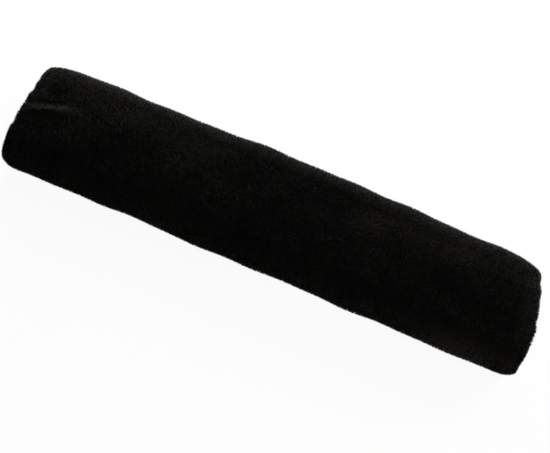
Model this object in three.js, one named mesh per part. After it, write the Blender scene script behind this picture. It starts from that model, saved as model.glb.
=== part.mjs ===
// A seat belt shoulder pad: one piece of shorn black sheepskin, wrapped wool side out into a
// flat sleeve that a seat belt runs through. The two long edges of the skin lap under the belt,
// where a hook tape sewn to the lower flap grips a loop tape sewn to the upper flap. The wool of
// both flaps meets along one parting line on the underside, and fans out round both mouths.
//
// Frame, in millimetres: X along the belt, Y across the pad, Z up. The pad lies on its closure
// side, and the origin is the bottom centre of its bounding box.

import * as THREE from "three";

// Driving dimensions of the sleeve
const padLength = 300; // over the wool, mouth to mouth, along the -Y side
const channelWidth = 51; // inside the skin, from fold to fold
const channelHeight = 5.6; // free height between the closure and the upper wall
const skinThickness = 1.1;

// Outline of the two cut ends: how far the +Y corner lies behind the -Y corner, and how far the
// middle of the cut bulges past a straight line between the corners
const cuts = {
  start: { setback: 0.3, bulge: 1.9 },
  finish: { setback: 5.6, bulge: 5.4 },
};

// Length of the wool as it stands off the skin
const woolOnTop = 9.8; // along the middle of the top
const woolAtSides = 7.6;
const woolCrown = 4; // how much of its length the top loses on its way out to the sides
const woolUnderneath = 5.6; // pressed down by the pad's own weight
const woolPastSkin = 5; // how far the longest locks of wool fan out past the cut end of the skin
const woolOverRim = 1; // how far the wool's root passes the cut end of the skin
const woolEndRounding = 5; // length over which the wool's top rolls over towards a mouth
const rimWaist = 0.4; // height of the furthest wool tips at a mouth, as a share of the wool's length

// Hook and loop closure
const tapeWidth = 16;
const tapeBacking = 0.7;
const tapeInset = 3; // how far a tape stops short of the skin's cut end
const skinPastTape = 0.6; // skin left beside a tape for its seam
const rowPitch = 2; // distance between neighbouring rows of hooks
const hookRowWidth = 0.6;
const loopRowWidth = 0.7;
const rowHeight = 1; // how far hooks and loops stand off their backing
const closureOffset = 0; // how far the middle of the lap lies from the middle of the pad

// Clearances
const seam = 0.3; // between faces that lie on each other
const partingGap = 0.8; // between the wool edges of the two flaps
const partingRounding = 2; // radius of the wool edges along the parting line

// Slow waves in the wool's surface: height, wavelength along the pad and round it, and phase
const waves = [
  { height: 0.34, along: 83, around: 61, phase: 0.4 },
  { height: 0.26, along: 47, around: -39, phase: 2.1 },
  { height: 0.18, along: 29, around: 90, phase: 4.0 },
];

// Dents and swellings of the wool, each a soft oval seen from above. A positive height stands out.
// "edge" is the distance in from the -X end (start) or the +X end (finish), and "turn" the angle
// in degrees from the X axis to the oval's long axis.
const swells = [
  { end: "start", edge: 14, across: 9, long: 9, wide: 7, turn: 0, height: -2.4 }, // hollow behind the fold
  { end: "start", edge: 15, across: -3, long: 13, wide: 3.4, turn: 21, height: 1.5 }, // fold in from the mouth
  { end: "start", edge: 13, across: 2, long: 12, wide: 2.8, turn: 21, height: -1.5 }, // crease beside the fold
  { end: "start", edge: 7, across: -26, long: 8, wide: 9, turn: 0, height: 0.5 }, // wool spread at the corner
  { end: "start", edge: 62, across: -36, long: 26, wide: 12, turn: 0, height: -0.9 },
  { end: "start", edge: 142, across: 34, long: 34, wide: 14, turn: 0, height: 0.7 },
  { end: "start", edge: 20, across: 36, long: 16, wide: 12, turn: 0, height: 1.5 },
  { end: "start", edge: 3, across: 35, long: 7, wide: 8, turn: 0, height: -1.2 }, // rounded corner
  { end: "finish", edge: 50, across: -8, long: 20, wide: 8, turn: -22, height: -1.3 }, // long shallow hollow
  { end: "finish", edge: 24, across: 12, long: 15, wide: 11, turn: 0, height: 0.8 },
  { end: "finish", edge: 14, across: -17, long: 9, wide: 8, turn: 0, height: -1.0 },
  { end: "finish", edge: 5, across: -36, long: 10, wide: 10, turn: 0, height: -2.4 }, // rounded corner
  { end: "finish", edge: 36, across: -36, long: 22, wide: 12, turn: 0, height: 1.6 },
  { end: "finish", edge: 48, across: 36, long: 36, wide: 13, turn: 0, height: 1.5 },
  { end: "finish", edge: 122, across: 36, long: 34, wide: 13, turn: 0, height: 1.9 }, // widest place
  { end: "finish", edge: 4, across: 35, long: 8, wide: 9, turn: 0, height: -2.2 }, // rounded corner
];
const farSideBulge = 2.3; // extra wool on the +Y side at the middle of the pad

// Locks that the wool parts into at the mouths: how far they reach, their width, and phase
const mouthLocks = [
  { reach: 0.4, width: 11.6, phase: 0.3 },
  { reach: 0.3, width: 7.7, phase: 1.9 },
];

// How finely the curved pieces are divided
const stepAround = 3; // along the flat walls
const foldSteps = 12; // round each half-turn fold
const stationsAlong = 48;
const crowding = 0.5; // how much closer the stations lie near the mouths, from 0 to 1
const innerStations = 8;
const rimSteps = 4;

// Heights worked out from the sizes above
const flapALevel = woolUnderneath + seam + skinThickness / 2;
const hookTapeBottom = flapALevel + skinThickness / 2 + seam;
const loopTapeTop = hookTapeBottom + tapeBacking + rowHeight + seam + tapeBacking;
const flapBLevel = loopTapeTop + seam + skinThickness / 2;
const topLevel = flapBLevel + skinThickness / 2 + channelHeight + skinThickness / 2;
const foldRadius = (topLevel - flapALevel) / 2;
const foldLevel = (topLevel + flapALevel) / 2;
const foldCentre = channelWidth / 2 - (foldRadius - skinThickness / 2);

// Places worked out from the sizes above
const lapHalf = tapeWidth / 2 + skinPastTape;
const flapAEdge = closureOffset + lapHalf;
const flapBEdge = closureOffset - lapHalf;
const partingEdge = flapAEdge + partingGap; // the wool of the upper flap starts here
const skinHalfLength = padLength / 2 - woolPastSkin;
const padHalfWidth = channelWidth / 2 + skinThickness + seam + woolAtSides;

const materials = {
  wool: new THREE.MeshStandardMaterial({ color: 0x15140f, roughness: 0.95, metalness: 0 }),
  skin: new THREE.MeshStandardMaterial({ color: 0xc9c7c8, roughness: 0.8, metalness: 0 }),
  hook: new THREE.MeshStandardMaterial({ color: 0xb4b3b2, roughness: 0.6, metalness: 0 }),
  loop: new THREE.MeshStandardMaterial({ color: 0xbdbbba, roughness: 0.9, metalness: 0 }),
};

/** A step from 0 to 1 that starts and ends level. */
function easedStep(t) {
  const clamped = Math.min(Math.max(t, 0), 1);
  return (1 - Math.cos(Math.PI * clamped)) / 2;
}

/** Where the skin is cut at an end (side -1 or +1), for a place across the pad. */
function cutEnd(side, y) {
  const cut = side < 0 ? cuts.start : cuts.finish;
  const share = (y + padHalfWidth) / (2 * padHalfWidth);
  return side * (skinHalfLength - cut.setback * share + cut.bulge * (1 - (2 * share - 1) ** 2));
}

/** Evenly spaced values from a to b, both included, at most `step` apart. */
function spaced(a, b, step) {
  const count = Math.max(1, Math.ceil(Math.abs(b - a) / step));
  return Array.from({ length: count + 1 }, (_, i) => a + ((b - a) * i) / count);
}

/** Values from a to b with a few extra ones close to a, where the wool's edge is rounded. */
function spacedFromEdge(a, b, step) {
  const way = Math.sign(b - a);
  const close = [0, 0.12, 0.4, 1].map((share) => a + way * share * partingRounding);
  return [...close.slice(0, -1), ...spaced(close.at(-1), b, step)];
}

/**
 * The middle of the skin as seen along the belt, from the edge of the lower flap round both folds
 * to the edge of the upper flap. Each point has its outward normal and says what part it is on.
 */
function skinPath() {
  const rampEnd = partingEdge + partingRounding / 2;
  const rampLength = foldCentre - rampEnd;
  const points = [];
  const add = (part, y, z, ny, nz) => points.push({ part, y, z, ny, nz });
  const addFold = (part, centre, from, to) => {
    for (let i = 1; i < foldSteps; i++) {
      const angle = from + ((to - from) * i) / foldSteps;
      const [c, s] = [Math.cos(angle), Math.sin(angle)];
      add(part, centre + foldRadius * c, foldLevel + foldRadius * s, c, s);
    }
  };

  for (const y of spacedFromEdge(flapAEdge, -foldCentre, stepAround)) add("flapA", y, flapALevel, 0, -1);
  addFold("fold", -foldCentre, -Math.PI / 2, (-3 * Math.PI) / 2);
  for (const y of spaced(-foldCentre, foldCentre, stepAround)) add("top", y, topLevel, 0, 1);
  addFold("fold", foldCentre, Math.PI / 2, -Math.PI / 2);

  // The upper flap climbs over the closure on a smooth ramp.
  const climb = flapBLevel - flapALevel;
  for (const y of spaced(foldCentre, rampEnd, stepAround / 2)) {
    const t = (foldCentre - y) / rampLength;
    const slope = ((climb * Math.PI) / 2 / rampLength) * Math.sin(Math.PI * t);
    const length = Math.hypot(1, slope);
    add("ramp", y, flapALevel + climb * easedStep(t), -slope / length, -1 / length);
  }
  add("flapB", partingEdge, flapBLevel, 0, -1);
  for (const y of spaced(flapAEdge, flapBEdge, stepAround)) add("lap", y, flapBLevel, 0, -1);
  return points;
}

/** How far the wool swells or dips at a place on the upper side. `around` runs round the sleeve. */
function relief(x, y, around) {
  let height = 0;
  for (const wave of waves) {
    const turn = 2 * Math.PI * (x / wave.along + around / wave.around);
    height += wave.height * Math.sin(turn + wave.phase);
  }
  for (const swell of swells) {
    const middle = (swell.end === "start" ? -1 : 1) * (padLength / 2 - swell.edge);
    const [dx, dy] = [x - middle, y - swell.across];
    const turn = THREE.MathUtils.degToRad(swell.turn);
    const lengthwise = dx * Math.cos(turn) + dy * Math.sin(turn);
    const crosswise = dy * Math.cos(turn) - dx * Math.sin(turn);
    const reach = Math.hypot(lengthwise / swell.long, crosswise / swell.wide);
    height += swell.height * Math.exp(-reach * reach);
  }
  return height;
}

/** Length of the wool where it stands freely, from the top round a fold to the underside. */
function woolLength(x, point, around) {
  const up = Math.max(point.nz, 0);
  const down = Math.max(-point.nz, 0);
  const outward = Math.abs(point.ny);
  const plain = woolAtSides + (woolOnTop - woolAtSides) * up * up + (woolUnderneath - woolAtSides) * down * down;
  const crown = woolCrown * up * (point.y / padHalfWidth) ** 2;
  const bulge = point.ny > 0 ? farSideBulge * outward * Math.cos((Math.PI * x) / padLength) : 0;
  const free = 1 - down * down;
  return plain - crown + (bulge + relief(x, point.y, around)) * free;
}

/** A point of the wool: x along the pad, and a share of the wool's length from root to tip. */
function woolPoint(point, x, around, share) {
  const root = skinThickness / 2 + seam;
  const y = point.y + point.ny * root;
  const z = point.z + point.nz * root;
  if (point.part === "fold" || point.part === "top") {
    const reach = share * woolLength(x, point, around);
    return new THREE.Vector3(x, y + point.ny * reach, z + point.nz * reach);
  }
  // Underneath, the tips are pressed flat on the ground, and rounded along the parting line.
  const edge = point.part === "flapA" ? flapAEdge - point.y : point.y - partingEdge;
  const inside = Math.max(partingRounding - edge, 0);
  const tip = partingRounding - Math.sqrt(Math.max(partingRounding ** 2 - inside ** 2, 0));
  return new THREE.Vector3(x, y, z + (tip - z) * share);
}

/** How far the wool reaches past the cut skin at a mouth (side -1 or +1), lock by lock. */
function mouthReach(side, around) {
  let furthest = woolPastSkin;
  for (const lock of mouthLocks) {
    furthest -= lock.reach * (1 - Math.sin((2 * Math.PI * around) / lock.width + side * lock.phase));
  }
  return furthest;
}

/** The wool over one strip along the pad: its tips, both rims and its roots, as a closed loop. */
function woolLoop(point, around) {
  const low = cutEnd(-1, point.y);
  const high = cutEnd(1, point.y);
  const loop = [];
  for (let i = 0; i <= stationsAlong; i++) {
    // The stations lie closer together towards the mouths.
    const t = i / stationsAlong;
    const eased = (1 - crowding) * t + crowding * easedStep(t);
    const x = low + woolEndRounding + (high - low - 2 * woolEndRounding) * eased;
    loop.push(woolPoint(point, x, around, 1));
  }
  const rim = (cut, side) => {
    const found = [];
    const furthest = mouthReach(side, around);
    for (let i = 1; i <= rimSteps; i++) {
      const angle = (Math.PI / 2) * (i / rimSteps);
      const reach = -woolEndRounding + (woolEndRounding + furthest) * Math.sin(angle);
      found.push(woolPoint(point, cut + side * reach, around, rimWaist + (1 - rimWaist) * Math.cos(angle)));
    }
    for (let i = 1; i <= rimSteps; i++) {
      const angle = (Math.PI / 2) * (i / rimSteps);
      const reach = woolOverRim + (furthest - woolOverRim) * Math.cos(angle);
      found.push(woolPoint(point, cut + side * reach, around, rimWaist * (1 - Math.sin(angle))));
    }
    return found;
  };
  loop.push(...rim(high, 1));
  for (let i = 1; i < innerStations; i++) {
    const x = high + ((low - high) * i) / innerStations;
    loop.push(woolPoint(point, x, around, 0));
  }
  loop.push(...rim(low, -1).reverse());
  return loop;
}

/** The skin over one strip along the pad, as a closed loop. */
function skinLoop(point) {
  const low = cutEnd(-1, point.y);
  const high = cutEnd(1, point.y);
  const side = (offset) =>
    Array.from({ length: innerStations + 1 }, (_, i) => {
      const x = low + ((high - low) * i) / innerStations;
      return new THREE.Vector3(x, point.y + point.ny * offset, point.z + point.nz * offset);
    });
  return [...side(skinThickness / 2), ...side(-skinThickness / 2).reverse()];
}

/** A closed solid through equal loops of points, with a flat fan closing the first and the last. */
function loftClosed(loops) {
  const count = loops[0].length;
  const middle = (loop) => loop.reduce((sum, p) => sum.add(p), new THREE.Vector3()).divideScalar(count);
  const points = [...loops.flat(), middle(loops[0]), middle(loops.at(-1))];
  const last = (loops.length - 1) * count;
  const index = [];
  for (let k = 0; k < count; k++) {
    const next = (k + 1) % count;
    for (let row = 0; row < last; row += count) {
      index.push(row + k, row + next, row + count + next);
      index.push(row + k, row + count + next, row + count + k);
    }
    index.push(next, k, last + count);
    index.push(last + k, last + next, last + count + 1);
  }
  const geometry = new THREE.BufferGeometry().setFromPoints(points);
  geometry.setIndex(index);
  geometry.computeVertexNormals();
  return geometry;
}

/** Distance run round the sleeve up to each point, measured from the middle of the top. */
function distancesAround(path) {
  const run = [0];
  for (let i = 1; i < path.length; i++) {
    run.push(run[i - 1] + Math.hypot(path[i].y - path[i - 1].y, path[i].z - path[i - 1].z));
  }
  const crown = path.findIndex((point) => point.part === "top" && point.y >= 0);
  return run.map((distance) => distance - run[crown]);
}

/** The wool: everything outside the skin, slit along the parting line. */
function woolGeometry(path) {
  const around = distancesAround(path);
  const last = path.findIndex((point) => point.part === "flapB");
  const strips = path.slice(0, last + 1).filter((point) => point.part !== "ramp" || point.y > partingEdge);
  return loftClosed(strips.map((point) => woolLoop(point, around[path.indexOf(point)])));
}

/** The skin: one wrapped sheet whose two flaps lap over the closure. */
function skinGeometry(path) {
  return loftClosed(path.map(skinLoop));
}

/** A tape's section across the pad: a flat backing with rows standing on it, upwards or downwards. */
function tapeShape(rowWidth, rowOffset, up) {
  const rows = [];
  const reach = (tapeWidth - rowWidth) / 2 - seam;
  const count = Math.floor((reach - rowOffset) / rowPitch);
  for (let i = -count - (rowOffset > 0 ? 1 : 0); i <= count; i++) rows.push(i * rowPitch + rowOffset);
  const shape = new THREE.Shape();
  shape.moveTo(-tapeWidth / 2, 0);
  shape.lineTo(tapeWidth / 2, 0);
  shape.lineTo(tapeWidth / 2, up * tapeBacking);
  for (const y of rows.reverse()) {
    shape.lineTo(y + rowWidth / 2, up * tapeBacking);
    shape.lineTo(y + rowWidth / 2, up * (tapeBacking + rowHeight));
    shape.lineTo(y - rowWidth / 2, up * (tapeBacking + rowHeight));
    shape.lineTo(y - rowWidth / 2, up * tapeBacking);
  }
  shape.lineTo(-tapeWidth / 2, up * tapeBacking);
  return shape;
}

/** A tape laid along the pad from its section, with its backing's outer face at the given level. */
function tapeGeometry(shape, level) {
  const low = cutEnd(-1, flapAEdge) + tapeInset;
  const high = cutEnd(1, flapAEdge) - tapeInset;
  const geometry = new THREE.ExtrudeGeometry(shape, { depth: high - low, bevelEnabled: false });
  // The section's own x runs along +Y, its y along +Z, and its depth along +X.
  const turn = new THREE.Matrix4().makeBasis(
    new THREE.Vector3(0, 1, 0),
    new THREE.Vector3(0, 0, 1),
    new THREE.Vector3(1, 0, 0),
  );
  geometry.applyMatrix4(turn);
  geometry.translate(low, closureOffset, level);
  return geometry;
}

function named(name, geometry, material) {
  const mesh = new THREE.Mesh(geometry, material);
  mesh.name = name;
  return mesh;
}

const path = skinPath();
const pad = new THREE.Group();
pad.add(named("wool_pile", woolGeometry(path), materials.wool));
pad.add(named("skin", skinGeometry(path), materials.skin));
pad.add(named("hook_tape", tapeGeometry(tapeShape(hookRowWidth, 0, 1), hookTapeBottom), materials.hook));
pad.add(named("loop_tape", tapeGeometry(tapeShape(loopRowWidth, rowPitch / 2, -1), loopTapeTop), materials.loop));

// The origin is the bottom centre of the pad's bounding box.
const bounds = new THREE.Box3().setFromObject(pad);
const centre = bounds.getCenter(new THREE.Vector3());
pad.position.set(-centre.x, -centre.y, -bounds.min.z);

export default pad;
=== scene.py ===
import math

import bpy
import numpy as np
from mathutils import Matrix, Vector


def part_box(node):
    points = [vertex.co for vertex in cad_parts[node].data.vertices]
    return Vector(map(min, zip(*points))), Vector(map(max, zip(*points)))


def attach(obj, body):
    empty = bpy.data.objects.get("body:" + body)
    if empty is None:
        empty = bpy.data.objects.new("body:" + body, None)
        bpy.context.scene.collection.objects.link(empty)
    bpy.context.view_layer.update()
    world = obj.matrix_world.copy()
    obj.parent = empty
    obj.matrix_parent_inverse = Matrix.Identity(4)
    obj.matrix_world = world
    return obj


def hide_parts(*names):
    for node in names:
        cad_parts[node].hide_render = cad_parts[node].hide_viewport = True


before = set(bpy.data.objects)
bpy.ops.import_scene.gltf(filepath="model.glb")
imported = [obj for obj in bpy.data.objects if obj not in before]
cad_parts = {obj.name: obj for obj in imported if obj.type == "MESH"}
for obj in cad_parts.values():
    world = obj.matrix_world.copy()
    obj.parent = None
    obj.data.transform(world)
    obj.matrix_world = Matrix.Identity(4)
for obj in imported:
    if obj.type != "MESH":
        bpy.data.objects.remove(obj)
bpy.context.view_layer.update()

# A seat belt shoulder pad of shorn black sheepskin: a flat sleeve with its wool outside, a pale
# suede inside, and a hook and loop closure along its underside. Sizes are in millimetres and
# angles in radians where nothing else is said; a mesh is scaled to metres when it is made.
MM = 0.001

# Sizes of the sleeve, which repeat the sizes of the solids
PAD_LENGTH = 300.0
CHANNEL_WIDTH = 51.0
CHANNEL_HEIGHT = 5.6
SKIN = 1.1
CUTS = {-1: {"setback": 0.3, "bulge": 1.9}, 1: {"setback": 5.6, "bulge": 5.4}}
WOOL_ON_TOP = 9.8
WOOL_AT_SIDES = 7.6
WOOL_CROWN = 4.0
WOOL_UNDERNEATH = 5.6
WOOL_PAST_SKIN = 5.0
WOOL_OVER_RIM = 1.0
WOOL_END_ROUNDING = 5.0
RIM_WAIST = 0.4
FAR_SIDE_BULGE = 2.3
TAPE_WIDTH = 16.0
TAPE_BACKING = 0.7
SKIN_PAST_TAPE = 0.6
ROW_HEIGHT = 1.0
SEAM = 0.3
PARTING_GAP = 0.8
PARTING_ROUNDING = 2.0

# Slow waves of the wool: height, length along the pad and round it, phase
WAVES = [(0.34, 83, 61, 0.4), (0.26, 47, -39, 2.1), (0.18, 29, 90, 4.0)]

# Dents and swellings: end, distance in from it, place across, half length, half width, turn in
# degrees, height
SWELLS = [
    (-1, 14, 9, 9, 7, 0, -2.4),
    (-1, 15, -3, 13, 3.4, 21, 1.5),
    (-1, 13, 2, 12, 2.8, 21, -1.5),
    (-1, 7, -26, 8, 9, 0, 0.5),
    (-1, 62, -36, 26, 12, 0, -0.9),
    (-1, 142, 34, 34, 14, 0, 0.7),
    (-1, 20, 36, 16, 12, 0, 1.5),
    (-1, 3, 35, 7, 8, 0, -1.2),
    (1, 50, -8, 20, 8, -22, -1.3),
    (1, 24, 12, 15, 11, 0, 0.8),
    (1, 14, -17, 9, 8, 0, -1.0),
    (1, 5, -36, 10, 10, 0, -2.4),
    (1, 36, -36, 22, 12, 0, 1.6),
    (1, 48, 36, 36, 13, 0, 1.5),
    (1, 122, 36, 34, 13, 0, 1.9),
    (1, 4, 35, 8, 9, 0, -2.2),
]

# Waves of the wool's edge at a mouth, shallower than those of the solid: reach, width, phase
MOUTH_LOCKS = [(0.2, 11.6, 0.3), (0.15, 7.7, 1.9)]

# Where the upper half of a mouth's rim reaches further, or less far: end, place across, half
# width, reach
LOOSE_LOCKS = [
    (-1, 35, 7, -2.6),
    (-1, 21, 6, 0.8),
    (1, 35, 7, -2.0),
    (1, -14, 9, 1.0),
    (1, -31, 4.5, 2.2),
]
LOCKS_END_AT = -0.9  # height of the normal under the pad at which the loose locks fade out

# Levels and places worked out from the sizes
FLAP_A_LEVEL = WOOL_UNDERNEATH + SEAM + SKIN / 2
HOOK_TAPE_BOTTOM = FLAP_A_LEVEL + SKIN / 2 + SEAM
LOOP_TAPE_TOP = HOOK_TAPE_BOTTOM + TAPE_BACKING + ROW_HEIGHT + SEAM + TAPE_BACKING
FLAP_B_LEVEL = LOOP_TAPE_TOP + SEAM + SKIN / 2
TOP_LEVEL = FLAP_B_LEVEL + SKIN + CHANNEL_HEIGHT
FOLD_RADIUS = (TOP_LEVEL - FLAP_A_LEVEL) / 2
FOLD_LEVEL = (TOP_LEVEL + FLAP_A_LEVEL) / 2
FOLD_CENTRE = CHANNEL_WIDTH / 2 - (FOLD_RADIUS - SKIN / 2)
LAP_HALF = TAPE_WIDTH / 2 + SKIN_PAST_TAPE
PARTING_EDGE = LAP_HALF + PARTING_GAP
SKIN_HALF_LENGTH = PAD_LENGTH / 2 - WOOL_PAST_SKIN
PAD_HALF_WIDTH = CHANNEL_WIDTH / 2 + SKIN + SEAM + WOOL_AT_SIDES

# Colours of each finish, the darkest and the lightest
WOOL_COLOURS = (0.0006, 0.0005, 0.00035), (0.0202, 0.0186, 0.0160)
SUEDE_COLOURS = (0.36, 0.35, 0.355), (0.62, 0.605, 0.61)
FUZZ_COLOURS = (0.42, 0.41, 0.415), (0.68, 0.67, 0.675)
HOOK_TAPE_COLOURS = (0.34, 0.33, 0.33), (0.50, 0.49, 0.49)
LOOP_TAPE_COLOURS = (0.38, 0.37, 0.37), (0.54, 0.53, 0.53)
HOOK_COLOURS = (0.36, 0.35, 0.35), (0.56, 0.55, 0.55)
LOOP_COLOURS = (0.44, 0.43, 0.43), (0.66, 0.65, 0.65)
THREAD_COLOURS = (0.42, 0.41, 0.42), (0.68, 0.67, 0.68)

# Camera, as the pad was photographed: angles in degrees, the lens as a focal length
VIEW_AZIMUTH = 6.2
VIEW_ELEVATION = 60.6
VIEW_ROLL = 17.5
VIEW_DISTANCE = 600.0
VIEW_AIM = (2.0, -8.2, 13.0)
VIEW_LENS = 71.4

# Lamps: name, place and width in metres, power in watts
LAMPS = [
    ("key", (-0.26, 0.34, 0.17), 0.25, 3.0),
    ("second", (0.34, 0.30, 0.13), 0.25, 3.3),
    ("low", (0.42, -0.30, 0.14), 0.3, 0.75),
    ("fill", (0.15, -0.70, 0.42), 0.7, 1.35),
]
WORLD_LIGHT = 0.2
FLOOR_HALF = 6.0  # metres
FLOOR_PAINT = (0.82, 0.82, 0.82, 1)
FLOOR_GLOW = 0.94  # how far the floor shows as plain white
SEEN_RAYS = ("Is Camera Ray", "Is Glossy Ray", "Is Transmission Ray")


# The form of the sleeve


def eased(t):
    """A step from 0 to 1 that starts and ends level: half a cosine."""
    return (1 - np.cos(np.pi * np.clip(t, 0, 1))) / 2


def unit(vectors):
    """Each vector divided by its length."""
    return vectors / np.maximum(np.linalg.norm(vectors, axis=-1, keepdims=True), 1e-9)


PATH_SAMPLES = 60  # on each stretch of the path


def sleeve_path():
    """The skin's middle line seen along the belt, from the lower flap's edge to the upper flap's.

    Lower flap, half turn, top, half turn, half-cosine ramp, upper flap. Returns the distance run,
    y, z and the outward normal's y and z at each sample.
    """
    t = np.linspace(0, 1, PATH_SAMPLES)
    half_turn = np.pi * t
    ramp_end = PARTING_EDGE + PARTING_ROUNDING / 2
    climb = FLAP_B_LEVEL - FLAP_A_LEVEL
    slope = climb * np.pi / 2 / (FOLD_CENTRE - ramp_end) * np.sin(np.pi * t)
    steep = np.hypot(1, slope)
    flat, ones = np.zeros(PATH_SAMPLES), np.ones(PATH_SAMPLES)
    stretches = [
        (LAP_HALF + (-FOLD_CENTRE - LAP_HALF) * t, FLAP_A_LEVEL * ones, flat, -ones),
        (
            -FOLD_CENTRE - FOLD_RADIUS * np.sin(half_turn),
            FOLD_LEVEL - FOLD_RADIUS * np.cos(half_turn),
            -np.sin(half_turn),
            -np.cos(half_turn),
        ),
        (-FOLD_CENTRE + 2 * FOLD_CENTRE * t, TOP_LEVEL * ones, flat, ones),
        (
            FOLD_CENTRE + FOLD_RADIUS * np.sin(half_turn),
            FOLD_LEVEL + FOLD_RADIUS * np.cos(half_turn),
            np.sin(half_turn),
            np.cos(half_turn),
        ),
        (
            FOLD_CENTRE + (ramp_end - FOLD_CENTRE) * t,
            FLAP_A_LEVEL + climb * eased(t),
            -slope / steep,
            -1 / steep,
        ),
        (ramp_end + (-LAP_HALF - ramp_end) * t, FLAP_B_LEVEL * ones, flat, -ones),
    ]
    y, z, ny, nz = (np.concatenate([part[k] for part in stretches]) for k in range(4))
    run = np.concatenate([[0], np.cumsum(np.hypot(np.diff(y), np.diff(z)))])
    return run, y, z, ny, nz


PATH = sleeve_path()
PATH_END = PATH[0][-1]
CROWN_AT = (LAP_HALF + FOLD_CENTRE) + np.pi * FOLD_RADIUS + FOLD_CENTRE
FOLD_ENDS = CROWN_AT + FOLD_CENTRE + np.pi * FOLD_RADIUS  # where the ramp starts

# The wool ends where the path, on its last two stretches, comes back to the parting line
PATH_TAIL = 2 * PATH_SAMPLES
WOOL_END = float(np.interp(-PARTING_EDGE, -PATH[1][-PATH_TAIL:], PATH[0][-PATH_TAIL:]))

# The solids' own frame, found from where the hook tape lies in it
tape_low, tape_high = (np.array(corner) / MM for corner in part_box("hook_tape"))


def cut_end(side, y):
    """Where the skin is cut at an end: a straight slant plus a parabola across the pad."""
    share = (y + PAD_HALF_WIDTH) / (2 * PAD_HALF_WIDTH)
    slant, bulge = CUTS[side]["setback"] * share, CUTS[side]["bulge"] * (1 - (2 * share - 1) ** 2)
    return side * (SKIN_HALF_LENGTH - slant + bulge)


SHIFT = np.array([
    (tape_low[0] + tape_high[0]) / 2 - (cut_end(-1, LAP_HALF) + cut_end(1, LAP_HALF)) / 2,
    (tape_low[1] + tape_high[1]) / 2,
    tape_low[2] - HOOK_TAPE_BOTTOM,
])
TAPE_ENDS = (tape_low[0] - SHIFT[0], tape_high[0] - SHIFT[0])


def on_path(s):
    """y, z and the outward normal's y and z of the skin's middle line, at distance s along it."""
    y, z, ny, nz = (np.interp(s, PATH[0], values) for values in PATH[1:])
    length = np.hypot(ny, nz)
    return y, z, ny / length, nz / length


LATTICE = 256  # random values each way, after which a pattern repeats
TUFT_MIDDLES = (0.1, 0.9)  # where a tuft's middle may lie in its square


def soft_noise(u, v, cell, seed):
    """Smooth random heights from -1 to 1: random lattice values, blended by an eased step."""
    lattice = np.random.default_rng(seed).uniform(-1, 1, (LATTICE, LATTICE))
    a, b = u / cell, v / cell
    i, j = np.floor(a).astype(int), np.floor(b).astype(int)
    p, q = eased(a - i), eased(b - j)

    def corner(di, dj):
        return lattice[(i + di) % LATTICE, (j + dj) % LATTICE]

    near = corner(0, 0) * (1 - p) + corner(1, 0) * p
    far = corner(0, 1) * (1 - p) + corner(1, 1) * p
    return near * (1 - q) + far * q


def to_tuft(u, v, cell, seed):
    """Offset in u and v from each place to the middle of its tuft, the nearest of the lattice's
    randomly placed points."""
    place = np.random.default_rng(seed).uniform(*TUFT_MIDDLES, (2, LATTICE, LATTICE))
    i, j = np.floor(u / cell).astype(int), np.floor(v / cell).astype(int)
    best = np.full(np.shape(u), np.inf)
    du, dv = np.zeros(np.shape(u)), np.zeros(np.shape(u))
    for di in (-1, 0, 1):
        for dj in (-1, 0, 1):
            row, column = (i + di) % LATTICE, (j + dj) % LATTICE
            a = (i + di + place[0][row, column]) * cell - u
            b = (j + dj + place[1][row, column]) * cell - v
            reach = np.hypot(a, b)
            closer = reach < best
            best = np.where(closer, reach, best)
            du, dv = np.where(closer, a, du), np.where(closer, b, dv)
    return du, dv


def relief(x, y, around):
    """Height of the wool's waves, dents and swellings: a sum of sines and of turned Gaussians."""
    height = np.zeros(np.broadcast(x, y, around).shape)
    for rise, along, across, phase in WAVES:
        height = height + rise * np.sin(2 * np.pi * (x / along + around / across) + phase)
    for end, edge, place, long, wide, turn, rise in SWELLS:
        dx, dy = x - end * (PAD_LENGTH / 2 - edge), y - place
        c, s = math.cos(math.radians(turn)), math.sin(math.radians(turn))
        reach = np.hypot((dx * c + dy * s) / long, (dy * c - dx * s) / wide)
        height = height + rise * np.exp(-reach * reach)
    return height


def wool_length(x, s):
    """Length of the wool: a blend of the lengths on top, at the sides and underneath by the square
    of the normal's height, less the crown's parabola across the top, plus the far side's bulge and
    the relief where nothing presses it."""
    y, _, ny, nz = on_path(s)
    up, down = np.maximum(nz, 0), np.maximum(-nz, 0)
    plain = (
        WOOL_AT_SIDES
        + (WOOL_ON_TOP - WOOL_AT_SIDES) * up * up
        + (WOOL_UNDERNEATH - WOOL_AT_SIDES) * down * down
    )
    crown = WOOL_CROWN * up * (y / PAD_HALF_WIDTH) ** 2
    bulge = np.maximum(ny, 0) * FAR_SIDE_BULGE * np.cos(np.pi * x / PAD_LENGTH)
    return plain - crown + (bulge + relief(x, y, s - CROWN_AT)) * (1 - down * down)


def pile_point(s, x, share, inset=0.0):
    """A point of the wool over the skin at distance s: a share of the way from root to tip.

    Round the top and the folds the wool stands along the normal. Under the pad its tips end on
    the ground, with a rounded edge along the parting line. The tips are drawn in by inset.
    """
    s, x, share, inset = np.broadcast_arrays(s, x, share, inset)
    y, z, ny, nz = on_path(s)
    root_y, root_z = y + ny * (SKIN / 2 + SEAM), z + nz * (SKIN / 2 + SEAM)
    reach = share * (wool_length(x, s) - inset)
    edge = np.where(s < CROWN_AT, s, WOOL_END - s)
    inside = np.maximum(PARTING_ROUNDING - edge, 0)
    ground = PARTING_ROUNDING - np.sqrt(np.maximum(PARTING_ROUNDING**2 - inside**2, 0)) + inset
    flat = (s < LAP_HALF + FOLD_CENTRE) | (s > FOLD_ENDS)
    py = np.where(flat, root_y, root_y + ny * reach)
    pz = np.where(flat, root_z + (ground - root_z) * share, root_z + nz * reach)
    return np.stack([x, py, pz], -1)


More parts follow.
